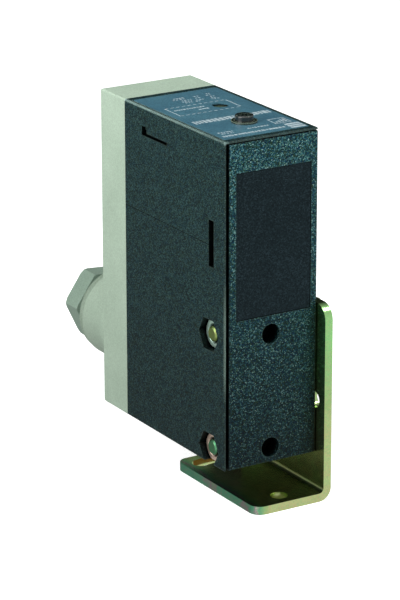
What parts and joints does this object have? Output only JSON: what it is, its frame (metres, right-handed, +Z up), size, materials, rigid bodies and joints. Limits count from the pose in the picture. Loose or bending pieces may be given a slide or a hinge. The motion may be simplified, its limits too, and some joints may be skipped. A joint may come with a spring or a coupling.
{
  "type": "photoelectric sensor",
  "caption": "Compact block-shaped photoelectric sensor with top adjuster, rear wiring cover with cable gland, and an L-shaped steel mounting bracket.",
  "frame": {"origin": "centre of the bracket foot's two-hole pitch, on the underside of the foot", "axes": "+Z up along the sensor's height, -Y out of the optical front, +X towards the bracket's upright, +Y along the cable gland"},
  "size_m": [0.0341, 0.091, 0.0989],
  "materials": {
    "body_black": "satin moulded black plastic",
    "bezel_black": "coarse spark-eroded black plastic",
    "daylight_filter": "smooth infrared-pass filter, nearly black",
    "gasket_foam": "closed-cell foam",
    "lens_clear": "clear moulded acrylic",
    "chassis_black": "matt black light trap",
    "board_green": "solder resist",
    "led_clear": "blue-tinted clear epoxy",
    "photodiode_black": "dark epoxy",
    "shield_tin": "tinned sheet",
    "header_black": "black nylon",
    "relay_blue": "blue relay case",
    "capacitor_sleeve": "shrink sleeve",
    "varistor_blue": "dipped epoxy",
    "trimmer_white": "white trimmer case",
    "led_amber": "tinted diffused epoxy",
    "terminal_grey": "grey polyamide",
    "terminal_zinc": "zinc plated",
    "label_blue": "printed blue-grey plate",
    "led_window_olive": "smoked translucent plastic",
    "ring_dark": "dark moulded collar",
    "spindle_dark": "dark moulded adjuster",
    "cover_grey": "pale grey-green moulded plastic",
    "gasket_black": "cover seal",
    "cover_screw_zinc": "zinc plated",
    "seal_rubber": "neoprene ring",
    "thrust_zinc": "zinc plated",
    "gland_grey": "pale grey-green moulded plastic",
    "bracket_chromate": "yellow chromate zinc plate",
    "screw_zinc": "zinc plated"
  },
  "bodies": {
    "housing": {"adjuster_ring": "ring_dark", "board_header": "header_black", "body_shell": "body_black", "bracket_nuts": "screw_zinc", "bracket_screws": "screw_zinc", "cover_gasket": "gasket_black", "cover_screws": "cover_screw_zinc", "emitter_led": "led_clear", "filter_window": "daylight_filter", "flat_washers": "screw_zinc", "front_bezel": "bezel_black", "gland_seal": "seal_rubber", "indicator_led": "led_amber", "label_plate": "label_blue", "led_window": "led_window_olive", "lens_plate": "lens_clear", "main_board": "board_green", "mounting_bracket": "bracket_chromate", "optics_board": "board_green", "optics_chassis": "chassis_black", "output_relay": "relay_blue", "potentiometer_body": "trimmer_white", "rear_cover": "cover_grey", "receiver_photodiode": "photodiode_black", "receiver_shield": "shield_tin", "reservoir_capacitor": "capacitor_sleeve", "spring_washers": "screw_zinc", "surge_varistor": "varistor_blue", "terminal_block": "terminal_grey", "terminal_screws": "terminal_zinc", "top_board": "board_green", "window_gasket": "gasket_foam"},
    "adjuster": {"sensitivity_spindle": "spindle_dark"},
    "gland_slider": {"gland_thrust_ring": "thrust_zinc"},
    "gland_screw": {"gland_nut": "gland_grey"}
  },
  "joints": [
    {"name": "sensitivity_turn", "type": "hinge", "parent": "housing", "child": "adjuster", "pos_m": [-0.0025, -0.002, 0.097], "axis": [0, 0, 1], "range_deg": [-135, 135]},
    {"name": "gland_feed", "type": "slide", "parent": "housing", "child": "gland_slider", "axis": [0, -1, 0], "range_m": [0, 0.0036]},
    {"name": "gland_turn", "type": "hinge", "parent": "gland_slider", "child": "gland_screw", "pos_m": [-0.003, 0.066, 0.0304], "axis": [0, -1, 0], "range_deg": [0, 864.1]}
  ],
  "couplings": [
    {"joint": "gland_turn", "follows": "gland_feed", "rad_per_m": 4188.8}
  ]
}
